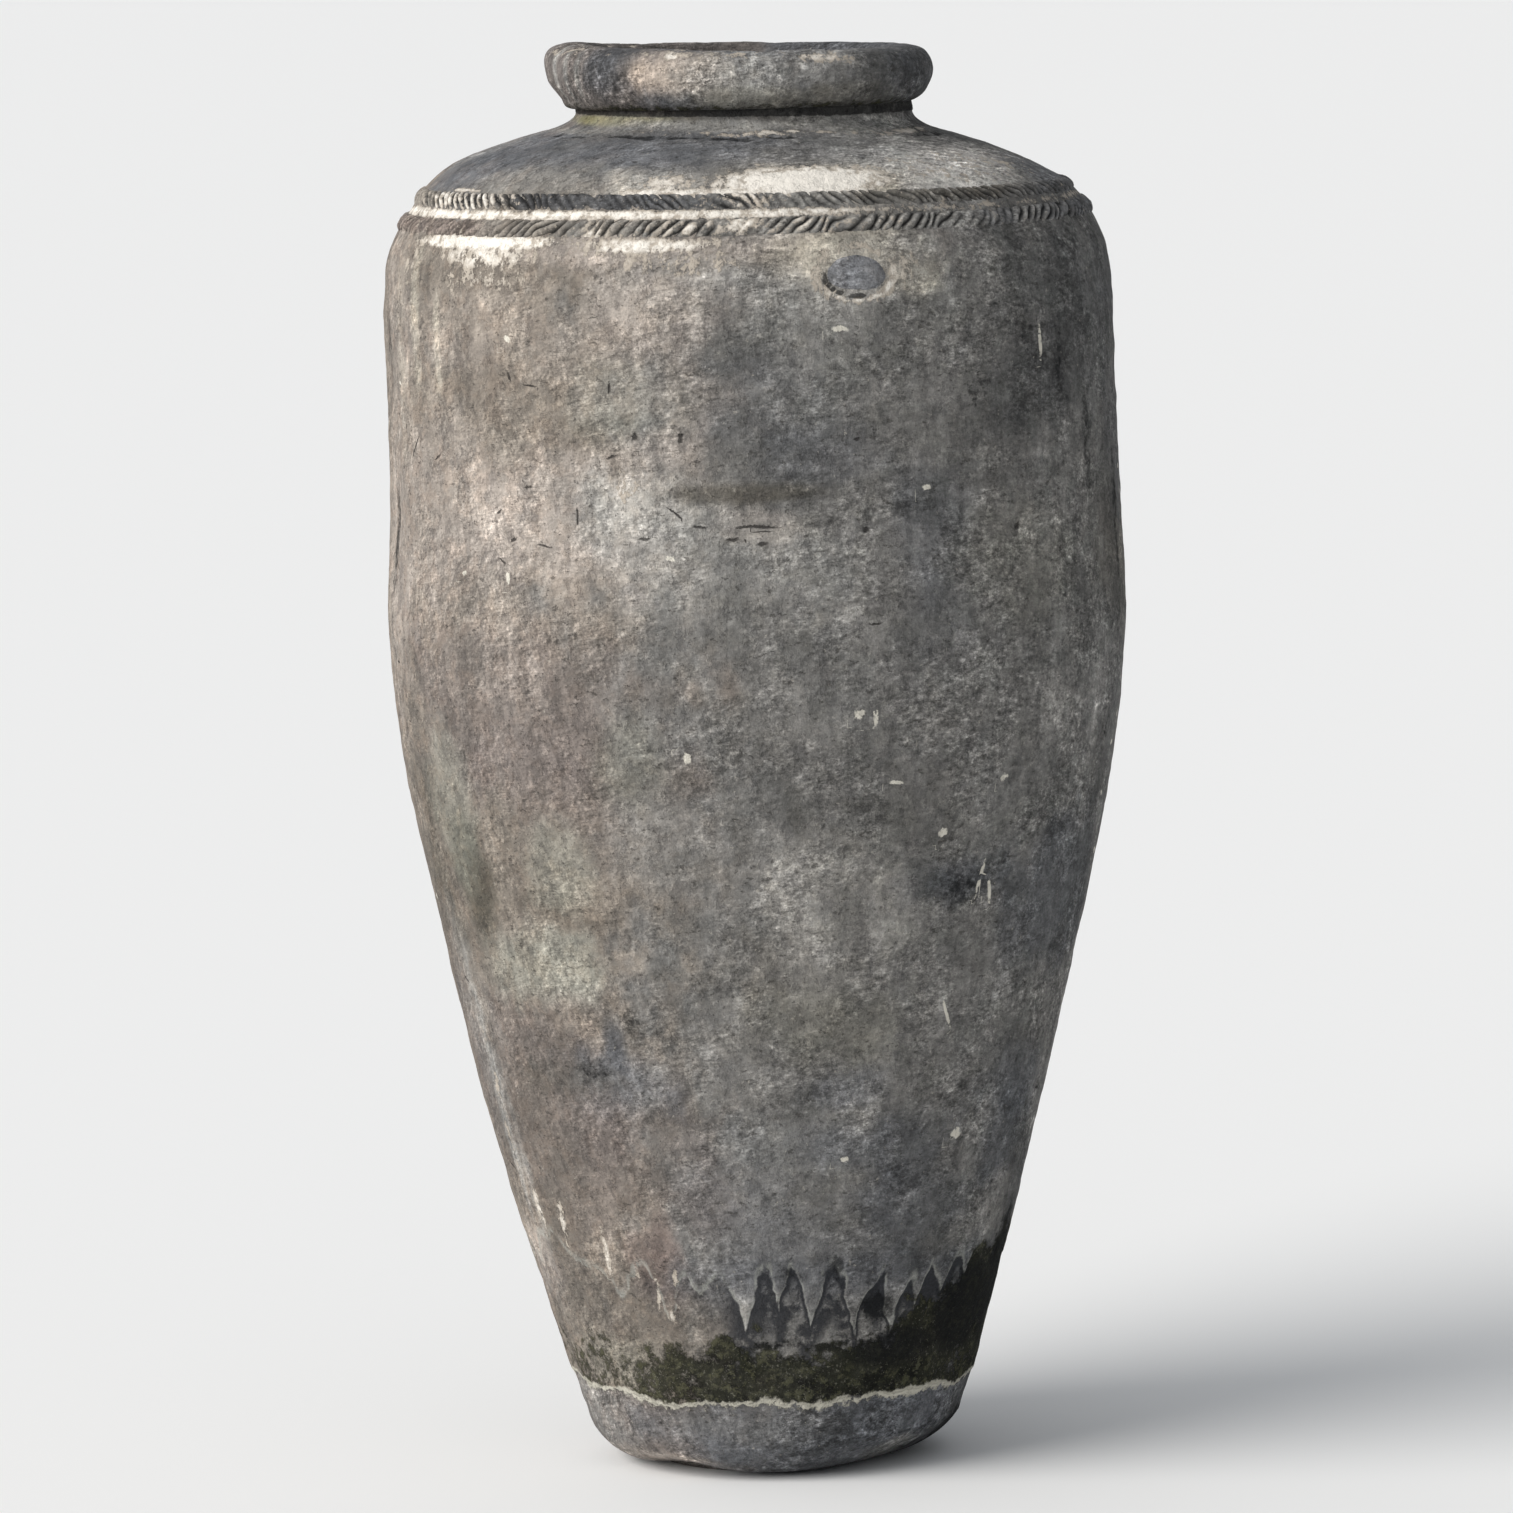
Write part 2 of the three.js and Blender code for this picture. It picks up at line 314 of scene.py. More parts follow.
# Soft stains in the clay: angle, height, half width, half height, colour, strength.
STAINS = [
    (-24, 781, 70, 9, "cream", 0.9), (12, 778, 56, 11, "cream", 0.9), (0, 752, 80, 18, "stone", 0.6),
    (28, 750, 26, 20, "stone", 0.5), (-24, 722, 50, 20, "cream", 0.35), (-25, 625, 50, 24, "cream", 0.6),
    (0, 612, 26, 8, "cream", 0.5), (-56, 660, 40, 20, "cream", 0.3), (-72, 360, 26, 70, "umber", 0.8),
    (-50, 235, 80, 70, "mauve", 0.7), (-60, 200, 50, 50, "umber", 0.3), (20, 138, 70, 12, "navy", 0.6),
    (50, 128, 60, 16, "navy", 0.8), (-60, 610, 130, 44, "cream", 0.6), (-76, 700, 30, 130, "cream", 0.4),
    (-14, 660, 24, 14, "cream", 0.6), (-20, 624, 44, 20, "cream", 0.6), (-68, 235, 6, 86, "ash", 0.8),
    (-64, 190, 5, 50, "stone", 0.6), (-45, 75, 50, 16, "olive", 0.5), (17, 764, 40, 22, "pale", 0.8),
    (15, 777, 38, 15, "bone", 0.9), (26, 764, 16, 12, "bone", 0.7), (0, 222, 20, 20, "stone", 0.5),
    (10, 300, 40, 24, "olive", 0.4), (50, 583, 50, 28, "ash", 0.35), (-35, 605, 70, 34, "cream", 0.6),
    (-16, 622, 36, 20, "pale", 1.0), (-13, 590, 36, 30, "ash", 0.5), (-76, 545, 26, 44, "cream", 0.5),
    (-14, 745, 34, 22, "cream", 0.7), (-50, 742, 60, 16, "cream", 0.25), (-40, 500, 90, 50, "mauve", 0.7),
    (-30, 455, 70, 40, "mauve", 0.5), (-57, 382, 20, 34, "umber", 1.0), (-38, 372, 26, 12, "umber", 0.4),
    (-42, 340, 40, 22, "cream", 0.45), (-29, 284, 8, 20, "navy", 0.9), (-31, 262, 36, 18, "slate", 1.0),
    (-38, 262, 34, 12, "umber", 0.5), (-70, 300, 20, 60, "stone", 0.5), (-14, 185, 22, 24, "mauve", 0.6),
    (-25, 150, 14, 24, "rust", 0.7), (-32, 150, 10, 20, "rust", 0.5), (-71, 140, 22, 26, "cream", 0.8),
    (2, 690, 46, 26, "navy", 0.5), (0, 735, 24, 30, "coal", 0.25), (10, 655, 30, 20, "slate", 0.5),
    (28, 610, 26, 40, "slate", 0.5), (44, 585, 40, 34, "olive", 0.3), (62, 735, 56, 60, "coal", 0.8),
    (50, 690, 40, 26, "coal", 0.5), (34, 668, 34, 14, "coal", 0.3), (78, 575, 34, 50, "umber", 0.7),
    (28, 540, 30, 30, "slate", 0.3), (12, 374, 40, 36, "pale", 0.4), (34, 388, 26, 14, "navy", 0.8),
    (64, 372, 56, 40, "navy", 0.7), (58, 250, 34, 20, "navy", 0.6), (15, 258, 24, 12, "slate", 0.6),
    (28, 220, 22, 18, "navy", 0.6), (57, 218, 24, 26, "navy", 0.7), (34, 178, 50, 22, "navy", 0.6),
    (-52, 832, 130, 22, "slate", 1.0), (-15, 838, 50, 12, "slate", 0.6), (40, 822, 84, 14, "chalk", 0.95),
    (12, 818, 60, 8, "bone", 0.9), (-14, 817, 30, 8, "pale", 0.8), (30, 833, 30, 8, "stone", 0.7),
    (20, 838, 60, 8, "slate", 0.4), (-60, 846, 60, 1.6, "stone", 0.7), (76, 815, 40, 14, "slate", 0.8),
    (20, 772, 30, 14, "stone", 0.5), (-52, 853.5, 46, 3.6, "lichen", 0.9), (0, 853, 60, 5, "umber", 0.3),
    (-12, 850, 50, 3.5, "ash", 0.8), (78, 853, 60, 6, "coal", 0.5), (40, 851, 60, 4, "ash", 0.7),
    (-2, 633, 46, 5, "umber", 0.7),  # smudge in the crease
    (-64, 735, 5, 34, "bone", 0.7), (-57, 727, 4, 26, "bone", 0.6), (-71, 700, 6, 60, "bone", 0.2),
    (46, 138, 44, 14, "coal", 0.5), (42, 851, 22, 12, "stone", 0.5), (-44, 851, 26, 10, "stone", 0.4),
    (21, 815, 26, 8, "bone", 0.6), (-42, 815, 50, 10, "bone", 0.3), (28, 781, 12, 7, "slate", 0.4),
    (74, 15, 18, 12, "coal", 0.7), (14, 222, 24, 16, "slate", 0.6), (-12, 138, 30, 14, "slate", 0.5),
    (76, 180, 20, 26, "coal", 0.6), (0, 340, 30, 20, "umber", 0.2), (10, 690, 26, 18, "stone", 0.4),
    (-57, 720, 60, 12, "cream", 0.4), (-44, 338, 44, 20, "sage", 0.6), (-60, 430, 22, 40, "sage", 0.4),
    (-36, 404, 20, 24, "sage", 0.4), (-33, 235, 30, 22, "mauve", 0.6), (-20, 470, 20, 30, "sage", 0.4),
    (-20, 690, 30, 20, "sage", 0.4), (-76, 300, 20, 60, "mauve", 0.4), (40, 60, 50, 12, "coal", 0.9),
    (80, 690, 30, 90, "coal", 0.6), (76, 500, 24, 80, "coal", 0.5), (74, 390, 22, 30, "coal", 0.4),
    (72, 80, 50, 46, "coal", 0.9), (5, 150, 70, 40, "slate", 0.5), (-8, 205, 40, 36, "slate", 0.3),
    (-44, 560, 52, 50, "cream", 0.35), (-14, 692, 50, 14, "cream", 0.4), (-17, 420, 26, 24, "stone", 0.5),
    (14, 735, 36, 26, "stone", 0.6), (6, 592, 50, 20, "stone", 0.4), (-42, 460, 30, 16, "mauve", 0.5),
    (130, 600, 150, 120, "slate", 0.4), (170, 480, 120, 90, "warm", 0.6), (-150, 640, 90, 80, "ash", 0.4),
    (-130, 300, 70, 60, "umber", 0.4), (150, 250, 90, 50, "navy", 0.5), (110, 460, 40, 60, "olive", 0.4),
    (-165, 400, 50, 60, "mauve", 0.6), (120, 690, 60, 50, "stone", 0.6), (165, 740, 90, 24, "pale", 0.5),
    (-140, 730, 60, 30, "cream", 0.6), (-170, 560, 70, 40, "pale", 0.6), (150, 350, 60, 50, "ash", 0.6),
    (-120, 480, 60, 60, "sage", 0.6), (-150, 220, 50, 50, "stone", 0.5), (115, 280, 40, 60, "slate", 0.7),
    (-105, 640, 40, 80, "pale", 0.5), (-120, 826, 90, 16, "ash", 0.6), (150, 824, 90, 14, "pale", 0.6),
]


def stained(angle, z, radius, base, stains, ragged=0.6, crisp=2.2):
    """Colour of the clay at each point: a base colour with ragged-edged stains worked into it."""
    points = polar(angle, radius, z)
    edge = ragged * fractal(points, 38, 5, seed=41, rough=0.65, stretch=(1, 1, 1.5))
    warmth = smooth(np.sin(np.radians(angle + 12)) + 0.4 * edge, 0.1, -0.35)[..., None]
    cold = srgb(COLOURS[base])
    colour = cold + warmth * (srgb(COLOURS["warm"]) - srgb(COLOURS["grey"]))
    for *where, name, strength in stains:
        reach = np.clip(0.75 * spot(angle, z, radius, where) * (1 + 0.5 * edge) + 0.5 * edge, 0, None)
        share = strength * np.exp(-(reach**crisp))
        colour += share[..., None] * (srgb(COLOURS[name]) - colour)
    return colour


def patches(angle, z, radius, listed):
    """A cover from 0 to 1 that is whole inside each listed place: angle, height, half sizes, strength."""
    cover = 0 * radius
    for *where, strength in listed:
        cover = np.maximum(cover, strength * np.exp(-spot(angle, z, radius, where) ** 1.5))
    return cover


LIME = [
    (-48, 785, 66, 4.4, 1.75),  # bloom under the lower rope
    (-46, 777, 46, 9, 0.85), (-44, 764, 40, 12, 0.55), (-10, 774, 50, 8, 0.4), (-41, 148, 2.6, 22, 0.85),
    (-33, 132, 1.8, 12, 0.5), (-28.5, 128, 1.8, 20, 0.7), (-23, 131, 1.6, 15, 0.6),
    (-25.5, 111, 2.4, 6, 0.7), (-16, 783, 50, 5, 1.05), (-66, 770, 14, 16, 0.5),
    (-14, 818, 18, 6, 0.8),  # patches on the shoulder
    (-4, 817, 14, 5, 0.75), (12, 818, 50, 8.0, 2.2), (0, 812, 60, 3.5, 1.4), (-16, 812, 24, 3.5, 1.2),
    (22, 822, 22, 6, 0.7), (50, 824, 80, 10, 0.42),
    (25, 765, 13, 10, 0.62),  # lumps to the right of the pad
    (-20, 640, 9, 14, 0.45), (-68, 235, 6, 70, 0.3), (-63, 170, 4, 22, 0.85), (-54, 168, 3.4, 16, 0.8),
    (-60, 813.5, 26, 1.2, 0.9),
]

# Tongues of slip that end above the foot: angle, height of the tip, half width in degrees.
TONGUES = [
    (-72, 132, 5), (-63, 150, 4), (-53, 148, 4), (-40, 119, 5), (-26, 106, 6.5), (-17, 124, 4),
    (-6, 101, 5.5), (1.5, 116, 4), (9.5, 104, 5.5), (21, 94, 6.5), (31.5, 95, 5), (38.5, 110, 4),
    (46, 118, 4), (55, 124, 4), (64, 118, 5), (73, 126, 5),
]
TONGUE_TOP = 148.0


def slip_edge(angle, points):
    """Height of the lower edge of the slip at each point's angle."""
    dice = np.random.default_rng(5)
    tongues = list(TONGUES)
    at = 82.0
    while at < 284:
        tongues.append((at, dice.uniform(98, 132), dice.uniform(3, 5.5)))
        at += dice.uniform(6.5, 12)
    shaken = angle + 1.5 * fractal(points, 14, 3, seed=43, stretch=(1, 1, 1.6))
    edge = TONGUE_TOP + 13 * fractal(polar(angle, 140, 0), 34, 2, seed=47)
    for centre, tip, half in tongues:
        aside = np.abs((shaken - centre + 180) % 360 - 180) / half
        rising = 1 - np.clip(1 - aside, 0, 1) ** 1.3
        edge = np.where(aside < 1, np.minimum(edge, tip + (edge - tip) * rising), edge)
    return edge


def crust_height(angle, points):
    """Height of the ragged edge where the dipped coat ends above the foot."""
    return 52.5 + 7 * bell(angle, -78, 26) + 3.4 * fractal(points, 30, 5, seed=53, rough=0.6)


# Small marks with crisp edges: angle, height, half length, half width, tilt.
CRACKS = [
    (0.5, 612.5, 13, 0.8, -3), (-12, 621, 7, 0.6, -36), (-8.5, 613, 4, 0.7, -8), (-17, 606, 4, 0.9, 4),
    (-3.5, 605, 4, 1.0, 0), (1, 602, 3.5, 1.1, 0), (-65.5, 657, 9, 0.7, 50), (-58, 652, 3.5, 0.7, 30),
    (-37, 637, 3, 0.9, 12), (-40, 704, 3.4, 0.9, 105), (-36, 699, 5, 0.6, -8), (-22, 656, 4, 0.8, 12),
    (17, 608, 2.0, 1.8, 0), (18, 551, 4, 0.7, 0), (-42, 590, 6, 0.6, -24), (-40, 604, 3, 0.9, 20),
    (-34, 601, 5, 0.6, -10), (-43, 621, 2.5, 0.8, 30), (-18, 668, 2.4, 1.8, 60), (-11, 667, 1.6, 3.0, 0),
    (-22, 698, 0.8, 4.0, 0), (-28, 620, 0.7, 5.0, 0), (44, 604, 2.4, 1.6, 40), (16, 664, 2, 1.2, 0),
]
CHIPS = [
    (17.2, 492, 5, 4.2, -40), (15.6, 496, 3, 2.4, 0), (-11, 472, 3, 2.0, -60), (27, 632, 2.6, 1.6, 0),
    (-51, 582, 1.8, 1.6, 0), (-41, 580, 1.4, 3.0, 10), (42.5, 449, 3.0, 1.8, 10), (31, 418, 3.0, 1.8, 30),
    (22, 452, 4, 1.0, 0), (-13, 594, 2.6, 1.4, 0), (16, 213, 2.4, 1.5, 0), (-40, 727, 2.2, 1.6, 0),
    (39.5, 385, 1.2, 9, -12), (42, 378, 1.2, 6, 10), (35.5, 302, 1.0, 8, 24), (42, 222, 4, 2.6, 0),
    (14, 731, 4.5, 1.4, 0), (51, 714, 1.4, 8, 0),
]
FAR = 9.0  # stands for a place far from every mark, in half sizes of a mark


def random_marks():
    """More small marks on the sides and the back, where the listed ones leave room."""
    dice = np.random.default_rng(8)
    made = []
    for _ in range(70):
        angle, height = dice.uniform(70, 290), dice.uniform(120, 770)
        kind = -1 if dice.random() < 0.55 else 1
        half = dice.uniform(2, 7) if kind < 0 else dice.uniform(1.4, 3.4)
        thin = dice.uniform(0.6, 1.0) * (1 if kind < 0 else 1.7)
        made.append((angle, height, half, thin, dice.uniform(-40, 40), kind))
    return made


def mark_coordinates(angle, z, radius):
    """Near each mark, the place in the mark's own axes and its kind: -1 crack, 1 pale chip."""
    found = np.zeros((*angle.shape, 3))
    found[..., :2] = FAR
    margin = 6.0
    listed = [(*mark, -1) for mark in CRACKS] + [(*mark, 1) for mark in CHIPS]
    for centre, height, half, thin, tilt, kind in listed + random_marks():
        aside = np.radians((angle - centre + 180) % 360 - 180) * radius
        up = z - height
        cos, sin = math.cos(math.radians(tilt)), math.sin(math.radians(tilt))
        u, v = aside * cos + up * sin, up * cos - aside * sin
        near = (np.abs(u) < half + margin) & (np.abs(v) < thin + margin)
        found[near] = np.column_stack([u[near] / half, v[near] / thin, np.full(near.sum(), kind)])
    return found


def weathering(angle, z, radius):
    """Every attribute that the clay's material reads on the outside of the wall."""
    points = polar(angle, radius, z)
    ragged = fractal(points, 30, 4, seed=61, rough=0.6)
    under = z - slip_edge(angle, points)
    crust = z - crust_height(angle, points)
    front = np.cos(np.radians(angle))
    colour = stained(angle, z, radius, "grey", STAINS)
    foot = stained(angle, z, radius, "slate", FOOT_STAINS)
    colour = np.where(crust[..., None] > 0, colour, foot)
    tips = 0.85 * smooth(under, -1, 2) * smooth(-z, -136, -106) * smooth(z, 88, 96)
    tips *= smooth(ragged, -0.9, 0.2)
    colour += tips[..., None] * (srgb(COLOURS["ash"]) - colour)
    back_bloom = 0.8 * smooth(-front, 0.1, 0.5) * bell(z, 781, 9) * smooth(ragged, -0.3, 0.5)
    groove_lime = bell(z, 800.6, 2.6) * (0.5 + 0.9 * smooth(-angle, -30, 0))
    halo, crevice_shadow = pad_surroundings(angle, z, radius)
    neck_line, neck_ledge = neck_groove(angle, z, points)
    lime = patches(angle, z, radius, LIME)
    for more in (back_bloom, groove_lime, neck_ledge, halo * (1 - crevice_shadow)):
        lime = np.maximum(lime, more)
    # Soot patches, then a painted shade band on the neck just under the rim, the dark scratched line
    # round the neck and a painted shadow in the crevice under the pad.
    soot_and_shade = patches(angle, z, radius, SOOT)
    for more in (1.5 * smooth(z, 856, 859), 0.9 * neck_line, 1.3 * crevice_shadow):
        soot_and_shade = np.maximum(soot_and_shade, more)
    return {
        "tone": colour,
        "lime": lime,
        "slip": np.clip(under, -60, 60),
        "crust": np.clip(crust, -40, 40),
        "moss": moss_growth(angle, z, radius, crust, ragged),
        "gap": gap_darkness(angle),
        "mark": mark_coordinates(angle, z, radius),
        "soot_and_shade": soot_and_shade,
        "bite": 1.05 + 0.32 * np.sin(np.radians(angle - 10)) + 0.5 * smooth(-crust, -4, 0),
        "warmth": 0.5 - 0.5 * np.sin(np.radians(angle + 12)),
    }


def pad_surroundings(angle, z, radius):
    """Lime smeared round the pad, and a painted shadow in the crevice under its lower left edge."""
    reach = np.sqrt(spot(angle, z, radius, (PAD_ANGLE, PAD_HEIGHT, PAD_HALF_WIDTH, PAD_HALF_HEIGHT)))
    side = np.radians(angle - PAD_ANGLE) * radius / PAD_HALF_WIDTH
    low = (PAD_HEIGHT - z) / PAD_HALF_HEIGHT
    halo = bell(reach, 1.2, 0.2) * (0.55 + 0.4 * smooth(low + 0.3 * side, -0.4, 0.8))
    crevice_shadow = bell(reach, 1.02, 0.08) * smooth(low - 0.7 * side, 0.3, 1.0)
    return halo, crevice_shadow


def moss_growth(angle, z, radius, crust, ragged):
    """Moss above the crust line: high and thick on the right, thin on the left and behind."""
    right = smooth(-angle, -150, -80)
    top = 95 + 62 * smooth(angle, 26, 80) * right + 14 * ragged
    moss = smooth(crust, -1, 3) * (1 - smooth(z, top - 16, top + 8))
    moss *= 0.25 + right * (0.14 * smooth(angle, -74, -60) + 0.66 * smooth(angle, -50, -8))
    bare = np.exp(-(spot(angle, z, radius, (60, 68, 26, 12)) ** 2))
    return moss * (1 - 0.4 * bare)


def neck_groove(angle, z, points):
    """A ragged line scratched round the bottom of the neck and the scuffed ledge above it."""
    line = 843.0 + 1.5 * fractal(points, 30, 4, seed=67, rough=0.6)
    here = smooth(np.cos(np.radians(angle - 5)), -0.1, 0.6)
    broken = smooth(fractal(points, 26, 3, seed=69), -0.6, 0.3)
    scratch = bell(z, line, 1.1) * broken
    ledge = bell(z - line, 2.6, 1.5) * (0.35 + 0.5 * broken)
    return scratch * here, ledge * here * (0.35 + 0.65 * smooth(angle, -25, 5))


FOOT_STAINS = [
    (-68, 35, 40, 30, "ash", 0.5), (-42, 38, 16, 10, "navy", 0.4), (-48, 11, 44, 6, "cream", 0.9),
    (-32, 36, 30, 12, "navy", 0.5), (-5, 38, 60, 12, "grey", 0.5), (40, 32, 60, 22, "navy", 0.7),
    (48, 12, 24, 8, "stone", 0.6), (74, 24, 30, 34, "coal", 0.9),
]
SOOT = [
    (34, 86, 40, 16, 0.8),  # the wettest part of the moss
    (58, 104, 34, 30, 1.2), (74, 120, 20, 44, 1.2), (27, 113, 16, 13, 0.75), (4, 140, 12, 12, 0.5),
    (15, 141, 9, 13, 0.6), (-79, 602, 9, 46, 0.7), (-80, 718, 10, 40, 0.55), (-25, 302, 10, 14, 0.6),
    (-35, 272, 26, 8, 0.5), (36, 380, 20, 14, 0.6), (56, 700, 6, 38, 0.6), (48, 726, 8, 20, 0.5),
    (37, 692, 14, 16, 0.5), (64, 650, 7, 50, 0.5), (77, 590, 8, 70, 0.6), (72, 470, 9, 40, 0.45),
    (0, 93, 26, 4, 0.7), (15, 90, 20, 4, 0.6), (78, 16, 22, 18, 0.9), (104, 640, 10, 60, 0.5),
    (128, 560, 7, 80, 0.5), (160, 650, 20, 18, 0.5), (-158, 300, 9, 50, 0.5), (-132, 610, 24, 14, 0.5),
    (-112, 380, 8, 40, 0.45),
]


def gap_darkness(angle):
    """How dark the gaps between the tongues are: darkest at the front and in places behind."""
    front = smooth(angle, -14, -8) * (1 - smooth(angle, 60, 90))
    dice = 0.5 + 0.5 * np.cos(np.radians(angle * 3 + 40))
    return 0.25 + 0.75 * np.maximum(front, 0.7 * dice * smooth(np.abs(angle), 95, 120))


# ---- meshes

def grid_normals(points):
    """Outward unit normals of a grid of points whose rows go up the outside."""
    across = np.roll(points, -1, axis=1) - np.roll(points, 1, axis=1)
    normals = np.cross(across, np.gradient(points, axis=0))
    return normals / np.linalg.norm(normals, axis=-1, keepdims=True)


def add_looks(mesh, looks):
    """Writes every attribute on the mesh's points."""
    for name, values in looks.items():
        flat = np.asarray(values, np.float32)
        if name == "tone":
            paint = np.concatenate([flat, np.ones((*flat.shape[:-1], 1), np.float32)], axis=-1)
            mesh.attributes.new(name, "FLOAT_COLOR", "POINT").data.foreach_set("color", paint.ravel())
        elif name == "mark":
            mesh.attributes.new(name, "FLOAT_VECTOR", "POINT").data.foreach_set("vector", flat.ravel())
        else:
            mesh.attributes.new(name, "FLOAT", "POINT").data.foreach_set("value", flat.ravel())


def make_piece(name, points, looks, faces=None, normals=None):
    """A smooth closed mesh in metres, of rings unless it has faces, that stands for the CAD node."""
    if faces is None:
        faces = ring_faces(*points.shape[:2])
    mesh = bpy.data.meshes.new(name)
    mesh.from_pydata((points * MM).reshape(-1, 3), [], faces)
    mesh.shade_smooth()
    add_looks(mesh, looks)
    if normals is not None:
        mesh.normals_split_custom_set(normals)
    piece = bpy.data.objects.new(name + "_clay", mesh)
    bpy.context.scene.collection.objects.link(piece)
    piece.data.materials.append(MATERIALS[SLOTS[name]])
    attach(piece, "root")
    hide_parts(name)


def ring_faces(rows, columns, closed=True):
    """Quads between neighbouring rows of points round the jar."""
    row = np.arange(rows if closed else rows - 1)[:, None]
    column = np.arange(columns)[None, :]
    here, above, beside = row * columns, (row + 1) % rows * columns, (column + 1) % columns
    quads = [here + column, here + beside, above + beside, above + column]
    return np.stack(quads, axis=-1).reshape(-1, 4)


def stack(first, second):
    """Attributes of the first rows of points followed by those of the second."""
    return {name: np.concatenate([values, second[name]]) for name, values in first.items()}


def rows_of(looks, rows):
    """The looks of some of the rows of points."""
    return {name: values[rows] for name, values in looks.items()}


def plain(angle, z, radius, base, stains=()):
    """Attributes of clay that no weather reached."""
    zero = 0 * radius
    marks = np.zeros((*angle.shape, 3))
    marks[..., :2] = FAR
    return {
        "tone": stained(angle, z, radius, base, stains), "lime": zero, "slip": zero + 60,
        "crust": zero + 40, "moss": zero, "gap": zero, "mark": marks, "soot_and_shade": zero,
        "bite": zero + 1, "warmth": zero + 0.5,
    }


def split_normals(points, bands):
    """Corner normals of a closed ring: smooth in each band of rows, flat on the strips between bands."""
    following, beside = np.roll(points, -1, axis=0), np.roll(points, -1, axis=1)
    flat = np.cross(beside - points, following - points)
    flat /= np.linalg.norm(flat, axis=-1, keepdims=True) + 1e-12
    corners = np.repeat(flat[:, :, None, :], 4, axis=2)
    for start, normals in bands:
        lower, upper = normals[:-1], normals[1:]
        shown = [lower, np.roll(lower, -1, axis=1), np.roll(upper, -1, axis=1), upper]
        corners[start:start + len(lower)] = np.stack(shown, axis=2)
    return corners.reshape(-1, 3)


def skin_rows():
    """Distances along the outline of the rings of points, with one ring exactly on each seam."""
    seams = [PROFILE.at_height(low) for low, _ in SECTIONS.values()] + [PROFILE.at_height(NECK_TOP)]
    rows, starts = [], []
    for low, high in zip(seams, seams[1:]):
        starts.append(len(rows))
        rows.extend(np.linspace(low, high, math.ceil((high - low) / ROW_STEP), endpoint=False))
    return np.array([*rows, seams[-1]]), [*starts, len(rows)]


def lifted(angle, along, lift):
    """Points a distance lift outside the ideal outline, before the handmade irregularities."""
    radius, z, normal_r, normal_z = PROFILE.at(along)
    return polar(angle, radius + lift * normal_r, z + lift * normal_z)


def wall_pieces():
    """The outside as one continuous skin, cut into the frame's sections, each closed by its inside."""
    along, starts = skin_rows()
    angles = turns(COLUMNS)
    angle, along_grid = np.meshgrid(angles, along)
    radius, z, _, _ = PROFILE.at(along_grid)
    looks = weathering(angle, z, radius)
    relief = form(angle, z, radius) + surface(polar(angle, radius, z)) * smooth(z, 0, 12)
    relief += pitted(angle, z, radius)
    relief += 0.7 * smooth(looks["slip"], -1, 3) * smooth(z, 90, 100)
    relief += 1.2 * smooth(looks["crust"], -2, 1) - 0.6
    relief -= 1.3 * neck_groove(angle, z, polar(angle, radius, z))[0]
    skin = handmade(lifted(angle, along_grid, relief))
    normals = grid_normals(skin)
    inner_relief = 0.9 * fractal(polar(angle, radius, z) * (0.1, 0.1, 1), 15, 2, seed=71)
    inside = handmade(lifted(angle, along_grid, inner_relief - WALL))
    inner_looks = plain(angle, z, radius, "umber", [(0, 300, 260, 200, "coal", 0.4)])
    for name, first, last in zip(SECTIONS, starts, starts[1:]):
        rows = slice(first, last + 1)
        outside, worn = skin[rows], rows_of(looks, rows)
        if name == "base_slab":
            slab(outside, worn, angles)
            continue
        picked = np.unique(np.append(np.arange(first, last, INSIDE_SKIP), last))[::-1]
        inner = inside[picked]
        if name == "lower_wall":
            # The inside ends on the slab, a little narrower than the row above it.
            inner[-1] = inner[-2]
            inner[-1, :, :2] *= 0.985
            inner[-1, :, 2] = SLAB_TOP
        points = np.concatenate([outside, inner])
        bands = [(0, normals[rows]), (len(outside), grid_normals(inner))]
        merged = stack(worn, rows_of(inner_looks, picked))
        make_piece(name, points, merged, normals=split_normals(points, bands))


def capped(name, points, poles, looks):
    """A closed mesh of rows of points from a lower pole to an upper one."""
    rows, columns = points.shape[:2]
    faces = ring_faces(rows, columns, closed=False).tolist()
    lower, upper, last = rows * columns, rows * columns + 1, (rows - 1) * columns
    for i in range(columns):
        j = (i + 1) % columns
        faces.append((lower, j, i))
        faces.append((upper, last + i, last + j))
    flat = {}
    for key, values in looks.items():
        flat[key] = values.reshape(rows * columns, *values.shape[2:])
        flat[key] = np.concatenate([flat[key], flat[key][[0, last]]])
    make_piece(name, np.concatenate([points.reshape(-1, 3), poles]), flat, faces)


def slab(skin, looks, angles):
    """The base slab: its flat underside, its outside and the floor of the jar."""
    under_shares = np.linspace(0.04, 0.96, 12)
    floor_shares = np.linspace(0.985, 0.03, 24)
    under = skin[0][None] * under_shares[:, None, None]
    under[..., 2] = 0
    floor = skin[-1][None] * floor_shares[:, None, None]
    floor_angle, floor_share = np.meshgrid(angles, floor_shares)
    dips = 0.8 * fractal(floor, 28, 3, seed=77) * smooth(1 - floor_share, 0.13, 0.3)
    floor[..., 2] = SLAB_TOP + dips
    under_angle, under_share = np.meshgrid(angles, under_shares)
    below = plain(under_angle, 0 * under_angle, 77 * under_share, "slate")
    above = plain(floor_angle, 0 * floor_angle + SLAB_TOP, 120 * floor_share, "umber")
    poles = np.array([[0, 0, 0], [0, 0, floor[-1, :, 2].mean()]])
    capped("base_slab", np.concatenate([under, skin, floor]), poles, stack(stack(below, looks), above))


